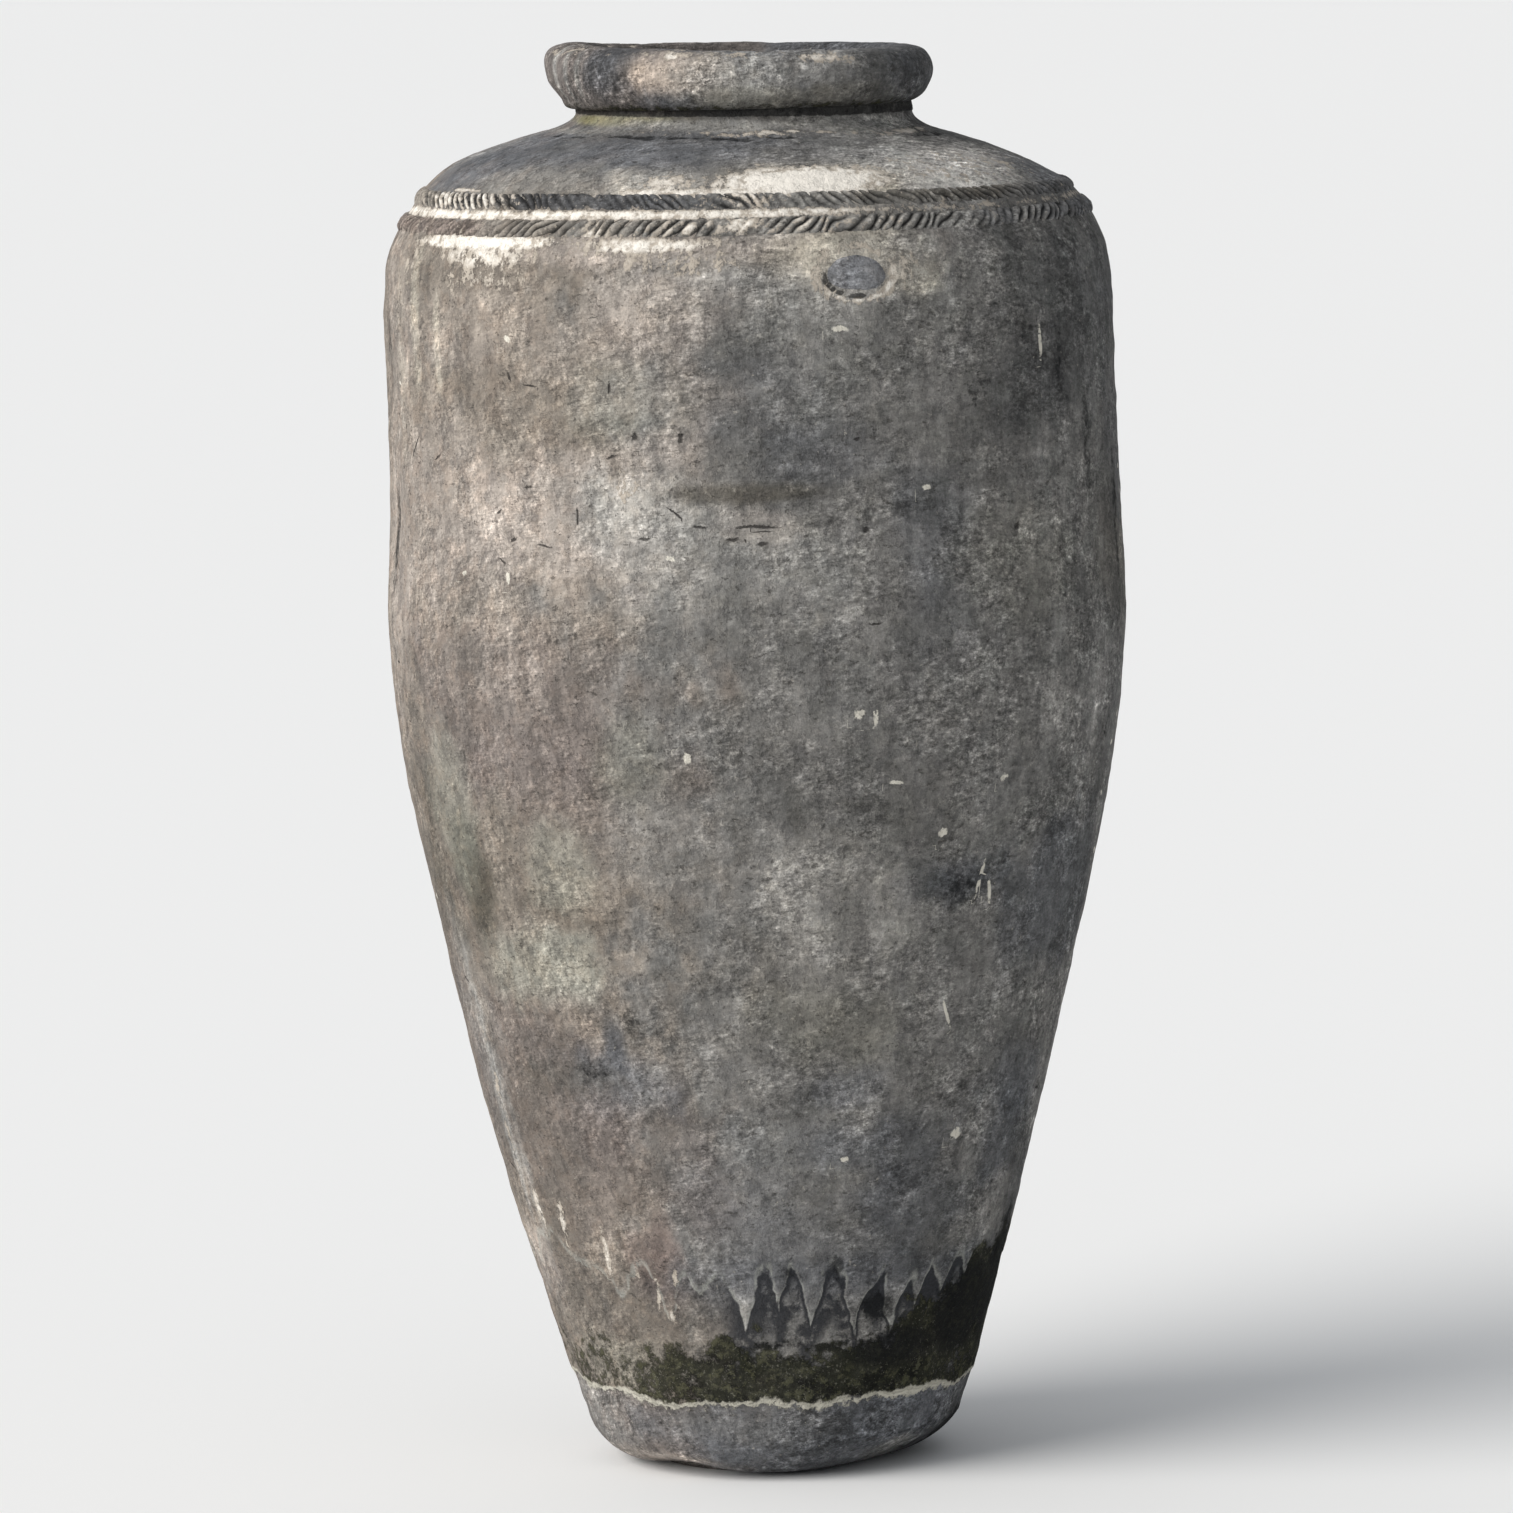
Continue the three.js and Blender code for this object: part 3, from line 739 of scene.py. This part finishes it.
RIM_STAINS = [
    (-72, 884, 4, 16, "ash", 0.8), (-64, 882, 3, 18, "stone", 0.8), (-57, 884, 3, 12, "stone", 0.7),
    (-42, 889, 20, 18, "navy", 0.9), (-20, 883, 34, 11, "beige", 1.0), (-4, 880, 40, 14, "stone", 0.7),
    (24, 885, 50, 14, "stone", 0.8), (20, 868, 70, 7, "olive", 0.5), (70, 880, 60, 30, "coal", 0.7),
]
RIM_LIME = [(-12, 896, 60, 4, 1.0), (28, 893, 24, 4, 0.9)]
RIM_DENTS = [
    (-90, 894, 60, 7, 2.6),  # square upper corner on the left
    (-90, 867, 60, 8, -2.6),
    (8, 897, 20, 4, -1.2),
    (-12, 898, 12, 4, -0.9),
    (60, 884, 30, 12, -0.8),
]


def rolled_rim():
    """The rim: its own outline carried round, dented and chipped along the top."""
    outline = catmull(RIM, 6)
    tangent = np.gradient(outline, axis=0)
    normal = np.column_stack([tangent[:, 1], -tangent[:, 0]])
    normal /= np.linalg.norm(normal, axis=1)[:, None]
    angle, radius = np.meshgrid(turns(COLUMNS), outline[:, 0])
    z = np.broadcast_to(outline[:, 1:], angle.shape)
    points = polar(angle, radius, z)
    relief = 0.8 * fractal(points, 70, 2, seed=83) + surface(points)
    relief += dented(angle, z, radius, RIM_DENTS)
    chips = smooth(fractal(points, 14, 3, seed=89), 0.35, 0.9) * smooth(z, 890, 897)
    relief -= 1.4 * chips
    seat = smooth(z, 862.5, 866)
    moved = polar(angle, radius + relief * seat * normal[:, :1], z + relief * seat * normal[:, 1:])
    looks = plain(angle, z, radius, "slate", RIM_STAINS)
    looks["bite"] = looks["bite"] + 0.45
    inner = smooth(106 - radius, 0, 14)[..., None]
    looks["tone"] = looks["tone"] * (1 - 0.35 * inner)
    looks["lime"] = 0.55 * chips + 0.5 * patches(angle, z, radius, RIM_LIME)
    looks["moss"] = 0.5 * (1 - smooth(z, 862, 867))
    make_piece("rolled_rim", handmade(moved), looks)


ROPE_WORN = [
    (-52, 793, 46, 7, 0.9), (-27, 793, 10, 7, 0.8), (-26, 808, 40, 6, 0.75), (8, 808, 26, 6, 0.7),
    (28, 808, 20, 6, 0.6),
]
ROPE_STAINS = [
    (-70, 793, 90, 6, "rust", 0.6), (-25, 808, 90, 6, "navy", 0.9), (0, 793, 80, 6, "pale", 0.4),
    (76, 800, 90, 40, "slate", 0.8), (40, 810, 60, 6, "umber", 0.7), (150, 800, 160, 40, "slate", 0.6),
]
ROPE_LIME = [
    (-56, 808, 56, 9, 1.2), (-6, 793, 50, 6, 0.8), (-2, 808, 30, 7, 0.7), (8, 792, 60, 8, 0.5),
    (-26, 790, 30, 6, 0.5), (-160, 800, 120, 10, 0.5),
]


def rope(name):
    """A rope of clay pressed on in slanted strokes, worn away here and there."""
    height, half, proud, slant, strokes = ROPES[name]
    angle, t = np.meshgrid(turns(strokes * 9), np.linspace(-1, 1, 17))
    radius, z, _, _ = PROFILE.at(PROFILE.at_height(height + t * half))
    points = polar(angle, radius, z)
    wander = 0.8 * fractal(polar(angle, radius, 0 * z), 26, 3, seed=97 + strokes)
    phase = strokes * angle / 360 + slant * t + wander
    cut = np.abs(np.sin(np.pi * phase)) ** 1.1
    wear = smooth(fractal(points, 46, 3, seed=101 + strokes), -0.1, 0.9)
    wear = np.maximum(wear, patches(angle, z, radius, ROPE_WORN))
    cut = cut + (0.85 - cut) * 0.8 * wear
    bulge = proud * (1 - t**2) ** 0.6 * (1 - 0.3 * wear)
    depth = 2.6 * (1 - cut) * (1 - t**4)
    ragged = (0.35 + 0.5 * wear) * fractal(points, 5, 2, seed=103)
    along = PROFILE.at_height(z)
    face = handmade(lifted(angle, along, form(angle, z, radius) + 0.3 + bulge - depth + ragged))
    back = handmade(lifted(angle[::-4], along[::-4], 0 * angle[::-4] - HIDDEN_DEPTH))
    looks = plain(angle, z, radius, "stone", ROPE_STAINS)
    # Painted shade and dirt in the grooves between the strokes: the tone is darkened where a stroke is
    # cut deep.
    dark = np.clip(1.25 * (1 - cut), 0, 1) ** 1.1
    looks["tone"] = looks["tone"] * (1 - 0.93 * dark)[..., None]
    flaked = smooth(fractal(points, 18, 3, seed=107 + strokes), -0.1, 0.8)
    looks["lime"] = (0.16 + 0.6 * patches(angle, z, radius, ROPE_LIME)) * (1 + flaked) * (1 - dark)
    merged = stack(looks, rows_of(looks, np.s_[::-4]))
    make_piece(name, np.concatenate([face, back]), merged)


def seal_pad():
    """The oval pad: a thumbed button of clay with an uneven flat face."""
    bearings = np.arange(96) * 2 * np.pi / 96
    shares = np.sin(np.linspace(0.03, 1, 22) * np.pi / 2)
    turn, share = np.meshgrid(bearings, shares)
    reach = share * (1 + 0.06 * np.cos(2 * turn + 0.7) + 0.04 * np.cos(3 * turn + 2))
    aside = PAD_HALF_WIDTH * reach * np.cos(turn)
    up = PAD_HALF_HEIGHT * reach * np.sin(turn)
    angle = PAD_ANGLE + np.degrees(aside / body_radius(PAD_HEIGHT))
    z = PAD_HEIGHT + up
    radius = body_radius(z)
    thumbed = 0.8 * np.exp(-((aside - 3) ** 2 + (up - 1) ** 2) / 60)
    lift = PAD_THICK * (1 - share**5) - thumbed + 0.5 * fractal(polar(angle, radius, z), 12, 3, seed=109)
    along = PROFILE.at_height(z)
    face = handmade(lifted(angle, along, form(angle, z, radius) + lift - 0.2))
    back = handmade(lifted(angle, along, 0 * z - HIDDEN_DEPTH))
    looks = plain(angle, z, radius, "steel", [(PAD_ANGLE, PAD_HEIGHT, 90, 90, "steel", 1.0)])
    looks["tone"] = looks["tone"] * (1 - 0.6 * share**12)[..., None]
    merged = stack(rows_of(looks, np.s_[:-1]), rows_of(looks, np.s_[::-1]))
    poles = np.array([back[0].mean(axis=0), face[0].mean(axis=0)])
    capped("seal_pad", np.concatenate([back[:-1], face[::-1]]), poles, merged)


def seam_coil(name):
    """A coil of clay smoothed by fingers over a seam inside the jar."""
    middle, half, proud = COILS[name]
    angle, t = np.meshgrid(turns(COLUMNS // 2), np.linspace(-1, 1, 13))
    z = middle + t * half
    along = PROFILE.at_height(z)
    radius = body_radius(z)
    fingers = 0.8 * fractal(polar(angle, radius, z), 18, 3, seed=113)
    back = handmade(lifted(angle, along, -WALL + 1 + 0 * t))
    face = handmade(lifted(angle, along, -WALL + 0.6 - (proud + fingers) * (1 - t**2)))
    looks = plain(angle, z, radius, "umber")
    merged = stack(looks, rows_of(looks, np.s_[::-1]))
    make_piece(name, np.concatenate([back, face[::-1]]), merged)


def corner_coil():
    """The roll of clay in the corner between the slab and the wall, hollowed by a finger."""
    low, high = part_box("base_corner_coil")
    outer, leg = high.x / MM, (high.z - low.z) / MM
    turn = np.linspace(0, np.pi / 2, 12)
    across, up = 1 - np.cos(turn), 1 - np.sin(turn)
    hollow = np.column_stack([outer - 3 - (leg - 3) * across, SLAB_TOP + leg * up])
    corner = [(outer - leg, SLAB_TOP - 1), (outer, SLAB_TOP - 1), (outer + 1, SLAB_TOP + leg)]
    outline = np.vstack([corner, hollow])
    angle, radius = np.meshgrid(turns(COLUMNS // 2), outline[:, 0])
    z = np.broadcast_to(outline[:, 1:], angle.shape)
    fingers = 0.7 * fractal(polar(angle, radius, z), 16, 3, seed=127)
    points = handmade(polar(angle, radius - fingers * (z > SLAB_TOP), z))
    make_piece("base_corner_coil", points, plain(angle, z, radius, "umber"))


# ---- materials

class Nodes:
    """A node tree, built a node at a time in an owner that is a material or a world."""

    def __init__(self, owner):
        owner.use_nodes = True
        self.tree = owner.node_tree
        self.tree.nodes.clear()

    def add(self, kind, inputs=None, **settings):
        node = self.tree.nodes.new("ShaderNode" + kind)
        for key, value in settings.items():
            setattr(node, key, value)
        for key, value in (inputs or {}).items():
            if isinstance(value, bpy.types.NodeSocket):
                self.tree.links.new(value, node.inputs[key])
            else:
                node.inputs[key].default_value = value
        return node


class Clay(Nodes):
    """One node material. Lumps of noise are sized in millimetres."""

    def __init__(self, name):
        self.material = bpy.data.materials.new(name)
        super().__init__(self.material)
        self.place = self.add("TexCoord").outputs["Object"]

    def read(self, name, output="Fac"):
        return self.add("Attribute", attribute_name=name).outputs[output]

    def math(self, operation, *values):
        return self.add("Math", dict(enumerate(values)), operation=operation).outputs[0]

    def times(self, first, second):
        return self.math("MULTIPLY", first, second)

    def mix(self, share, under, over, blend="MIX"):
        inputs = {0: share, 6: under, 7: over}
        return self.add("Mix", inputs, data_type="RGBA", blend_type=blend).outputs[2]

    def coat(self, under, cover, strength, code):
        """The colour underneath with a coat of paint where the cover is."""
        return self.mix(self.times(cover, strength), under, rgba(code))

    def step(self, value, low, high):
        """0 below low, 1 above high and smooth between them."""
        inputs = {"Value": value, "From Min": low, "From Max": high}
        return self.add("MapRange", inputs, interpolation_type="SMOOTHSTEP").outputs[0]

    def noise(self, size, seed, detail=4, rough=0.7, stretch=(1, 1, 1), aside=(0, 0, 0)):
        centre = [seed * k + a * MM for k, a in zip((1, 2.3, 3.7), aside)]
        shift = {0: self.place, 1: [1 / s for s in stretch], 2: centre}
        moved = self.add("VectorMath", shift, operation="MULTIPLY_ADD").outputs[0]
        inputs = {"Vector": moved, "Scale": 1000 / size, "Detail": detail, "Roughness": rough}
        return self.add("TexNoise", inputs).outputs["Fac"]

    def relief_shading(self, size, seed, step, stretch):
        """Painted light and shade on the lumps of a noise: above 0.5 on the upper left edge of each lump,
        below it on the lower right edge.
        """
        edge = (step, -step, -step)
        here = self.noise(size, seed, stretch=stretch)
        beyond = self.noise(size, seed, stretch=stretch, aside=edge)
        return self.math("ADD", self.math("SUBTRACT", here, beyond), 0.5)

    def weighed(self, start, *parts):
        """start plus each part's weight times how far its noise is from its middle value."""
        total = self.math("SUBTRACT", start, sum(weight for _, weight in parts) / 2)
        for lump, weight in parts:
            total = self.math("MULTIPLY_ADD", lump, weight, total)
        return total


def rgba(code):
    """A hexadecimal colour as a node wants it."""
    return (*srgb(code), 1)


def stoneware(slot, streaky, fine):
    """Weathered stoneware: stained clay with painted light and shade on its lumps, then slip edges with a
    painted highlight on the lip, lime, moss, soot and painted shade, crust, cracks and chips.
    """
    clay = Clay(slot + "_stoneware")
    noise, step, mix, coat = clay.noise, clay.step, clay.mix, clay.coat
    read, times, calc, weighed = clay.read, clay.times, clay.math, clay.weighed
    grain = noise(80, 1, detail=8, rough=0.85)
    brushed = noise(26, 2, detail=7, rough=0.8, stretch=(1, 1, 7))
    mottle = noise(19, 3, detail=5)
    grit = noise(6.5, 4, detail=5)
    speck = noise(2.0, 5, detail=3, rough=0.75)
    streaks = noise(6, 6, rough=0.65, stretch=(1, 1, 10))

    # The clay: calm and rough places, stained lighter and darker about its own colour, with painted light
    # on the upper left edges of its lumps and painted shade on their lower right edges.
    worked = step(noise(42, 16), 0.4, 0.6)
    worked = calc("MULTIPLY_ADD", worked, 0.9, 0.45)
    fine_relief_shading = clay.relief_shading(6.5, 14, 0.55, (1.7, 1.7, 1))
    coarse_relief_shading = clay.relief_shading(17, 15, 1.2, (1.4, 1.4, 1))

    grain_and_relief_shading = weighed(0.0, (grit, 1.6 * fine), (speck, 1.2 * fine), (fine_relief_shading, 5.0), (coarse_relief_shading, 3.0))
    stops = times(grain_and_relief_shading, worked)
    stops = weighed(stops, (grain, 3.2), (brushed, 2.0 * streaky), (mottle, 1.3))
    value = calc("POWER", 2.0, times(stops, read("bite")))
    scaled = {0: read("tone", "Color"), "Scale": value}
    colour = clay.add("VectorMath", scaled, operation="SCALE").outputs[0]
    film = step(noise(52, 7, detail=7, rough=0.75), 0.5, 0.545)
    colour = mix(film, colour, (0.865, 0.875, 0.88, 1), "MULTIPLY")
    bare = step(noise(40, 8, detail=7, rough=0.75), 0.52, 0.56)
    colour = mix(bare, colour, (1.14, 1.135, 1.125, 1), "MULTIPLY")
    tint = mix(read("warmth"), (0.98, 1.0, 0.99, 1), (1.035, 0.985, 0.955, 1))
    colour = mix(step(noise(15, 9), 0.47, 0.6), colour, tint, "MULTIPLY")

    flakes = step(noise(8.5, 12, detail=5, rough=0.75), 0.54, 0.58)
    colour = mix(flakes, colour, (1.2, 1.19, 1.18, 1), "MULTIPLY")
    scabs = step(noise(11, 13, detail=5, rough=0.75, stretch=(1, 1, 1.5)), 0.54, 0.58)
    colour = mix(scabs, colour, (0.79, 0.79, 0.8, 1), "MULTIPLY")
    pepper = step(noise(3.4, 10, detail=3, stretch=(1.8, 1.8, 1)), 0.62, 0.68)
    colour = coat(colour, pepper, 0.55, 0x36332F)
    salt = step(noise(4.0, 11, detail=3), 0.66, 0.73)
    colour = coat(colour, salt, 0.45, 0xB5AFA4)

    # Dark gaps under the edge of the slip, and a painted highlight along its lip.
    slip = weighed(read("slip"), (grit, 9.0), (mottle, 5.0))
    below = times(step(slip, 1.5, -3.0), step(slip, -54, -24))
    patchy = calc("MAXIMUM", step(slip, -16.0, -6.0), step(mottle, 0.38, 0.5))
    gap = times(times(below, read("gap")), patchy)
    colour = coat(colour, gap, 0.88, 0x1F2126)
    lip_highlight = times(step(slip, -1.5, 1.0), step(slip, 8.0, 1.0))
    lip_highlight = times(lip_highlight, step(streaks, 0.38, 0.55))
    colour = coat(colour, lip_highlight, 0.5, 0xA5A69F)

    lime_cover = read("lime")
    lime_reach = weighed(lime_cover, (grit, 2.4), (speck, 1.2), (mottle, 0.8), (streaks, 2.2 * streaky))
    lime = times(step(lime_reach, 0.42, 0.64), step(lime_cover, 0.02, 0.2))
    chalky = times(step(grit, 0.4, 0.6), step(lime_cover, 0.4, 1.0))
    thick = calc("MAXIMUM", chalky, step(lime_reach, 0.9, 1.5))
    lime_colour = mix(thick, rgba(0xB3A99C), rgba(0xF2ECE2))
    colour = mix(times(lime, 0.93), colour, lime_colour)

    moss_cover = read("moss")
    moss_reach = weighed(moss_cover, (grit, 2.4), (speck, 0.8), (mottle, 1.8))
    moss = times(step(moss_reach, 0.2, 0.7), step(moss_cover, 0.0, 0.15))
    moss_colour = mix(step(mottle, 0.4, 0.56), rgba(0x10110D), rgba(0x282920))
    moss_colour = mix(step(grit, 0.5, 0.62), moss_colour, rgba(0x4A4A38))
    moss_colour = mix(step(speck, 0.58, 0.68), moss_colour, rgba(0x66655A))
    colour = mix(times(moss, 0.92), colour, moss_colour)

    # Soot and painted shade: the band under the rim and the crevice under the pad are painted near black
    # here too.
    soot_and_shade_cover = read("soot_and_shade")
    soot_and_shade = step(weighed(soot_and_shade_cover, (mottle, 1.2), (grit, 1.6)), 0.3, 0.75)
    soot_and_shade = times(soot_and_shade, step(soot_and_shade_cover, 0.02, 0.25))
    colour = coat(colour, soot_and_shade, 0.8, 0x1B1C1D)

    crust = calc("ABSOLUTE", weighed(read("crust"), (grit, 7.0), (speck, 2.0)))
    crust = weighed(crust, (mottle, -10.0), (grit, -7.0), (streaks, -5.0))
    crust = times(step(crust, 3.0, 1.2), step(brushed, 0.3, 0.42))
    colour = coat(colour, crust, 0.92, 0xC6C2B4)

    # Cracks and chips.
    mark = clay.add("SeparateXYZ", {0: read("mark", "Vector")}).outputs
    bent = weighed(mark["Y"], (speck, 2.4), (grit, 4.5))
    squares = calc("POWER", mark["X"], 2.0), calc("POWER", bent, 2.0)
    reach = calc("SQRT", calc("ADD", *squares))
    open_crack = step(weighed(reach, (speck, 1.2)), 1.3, 0.5)
    crack = calc("MAXIMUM", times(open_crack, times(mark["Z"], -1.0)), 0.0)
    chip = calc("MAXIMUM", times(step(reach, 1.35, 0.85), mark["Z"]), 0.0)
    colour = coat(colour, crack, 0.85, 0x24211F)
    colour = coat(colour, chip, 0.9, 0xDAD5C8)

    height = weighed(0.0, (grit, 1.5), (speck, 0.5), (mottle, 1.4), (streaks, 0.4))
    cushions = times(moss, grit)
    raised = [
        (flakes, 0.3), (scabs, -0.3), (lime, 0.3), (crust, 0.8), (cushions, 1.6), (pepper, -0.4),
        (crack, -1.2),
    ]
    for layer, rise in raised:
        height = calc("MULTIPLY_ADD", layer, rise, height)
    bump = clay.add("Bump", {"Height": height, "Strength": 1.0, "Distance": MM})
    rough = weighed(0.86, (grit, 0.25), (mottle, 0.15))
    gloss = calc("MULTIPLY_ADD", calc("MAXIMUM", moss, soot_and_shade), -0.24, 0.3)
    shader = clay.add("BsdfPrincipled", {
        "Base Color": colour, "Roughness": rough, "Normal": bump.outputs[0], "Specular IOR Level": gloss,
    })
    clay.add("OutputMaterial", {"Surface": shader.outputs[0]})
    return clay.material


# How streaky and how fine-grained each slot's clay is.
CLAYS = {
    "grey_body": (1.0, 1.0), "dark_shoulder": (0.5, 1.0), "foot_clay": (0.4, 1.0),
    "lime_rope": (0.2, 1.2), "inner_clay": (0.3, 1.0),
}
MATERIALS = {slot: stoneware(slot, *clay) for slot, clay in CLAYS.items()}


# ---- studio

def studio():
    """A wide pale floor, a soft sun from the front left and a pale sky that is dimmer on the right."""
    paint = bpy.data.materials.new("studio_floor")
    nodes = Nodes(paint)
    shader = nodes.add("BsdfPrincipled", {"Base Color": FLOOR_COLOUR, "Roughness": 0.9})
    nodes.add("OutputMaterial", {"Surface": shader.outputs[0]})
    bpy.ops.mesh.primitive_circle_add(vertices=128, radius=FLOOR_RADIUS, fill_type="NGON")
    floor = bpy.context.object
    floor.name = "studio_floor"
    floor.data.materials.append(paint)

    sun = bpy.data.lights.new("soft_sun", "SUN")
    sun.energy = SUN_STRENGTH
    sun.angle = math.radians(SUN_SPREAD)
    sun.color = (1.0, 0.975, 0.94)
    holder = bpy.data.objects.new("soft_sun", sun)
    holder.rotation_euler = Vector(SUN_FROM).to_track_quat("Z", "Y").to_euler()
    bpy.context.scene.collection.objects.link(holder)

    world = bpy.data.worlds.new("studio_sky")
    bpy.context.scene.world = world
    nodes = Nodes(world)
    place = nodes.add("TexCoord").outputs["Generated"]
    across = nodes.add("SeparateXYZ", {0: place}).outputs["X"]
    fade = {"Value": across, "From Min": -1, "To Min": SKY_LEFT, "To Max": SKY_RIGHT}
    strength = nodes.add("MapRange", fade).outputs[0]
    sky = nodes.add("Background", {"Color": (0.93, 0.96, 1.0, 1), "Strength": strength})
    nodes.add("OutputWorld", {0: sky.outputs[0]})
    bpy.context.scene.view_settings.view_transform = "Standard"


def camera():
    """The photograph's view: from the front, a little above the rim, rolled a little."""
    stand, target = Vector(CAMERA_STAND), Vector(CAMERA_TARGET)
    data = bpy.data.cameras.new("camera")
    data.sensor_width = CAMERA_SENSOR
    data.lens = CAMERA_LENS
    data.clip_end = 300
    holder = bpy.data.objects.new("camera", data)
    turn = (target - stand).to_track_quat("-Z", "Y").to_matrix().to_4x4()
    roll = Matrix.Rotation(math.radians(CAMERA_ROLL), 4, "Z")
    holder.matrix_world = Matrix.Translation(stand) @ turn @ roll
    bpy.context.scene.collection.objects.link(holder)
    bpy.context.scene.camera = holder


studio()
camera()
wall_pieces()
rolled_rim()
for rope_name in ROPES:
    rope(rope_name)
seal_pad()
for coil_name in COILS:
    seam_coil(coil_name)
corner_coil()
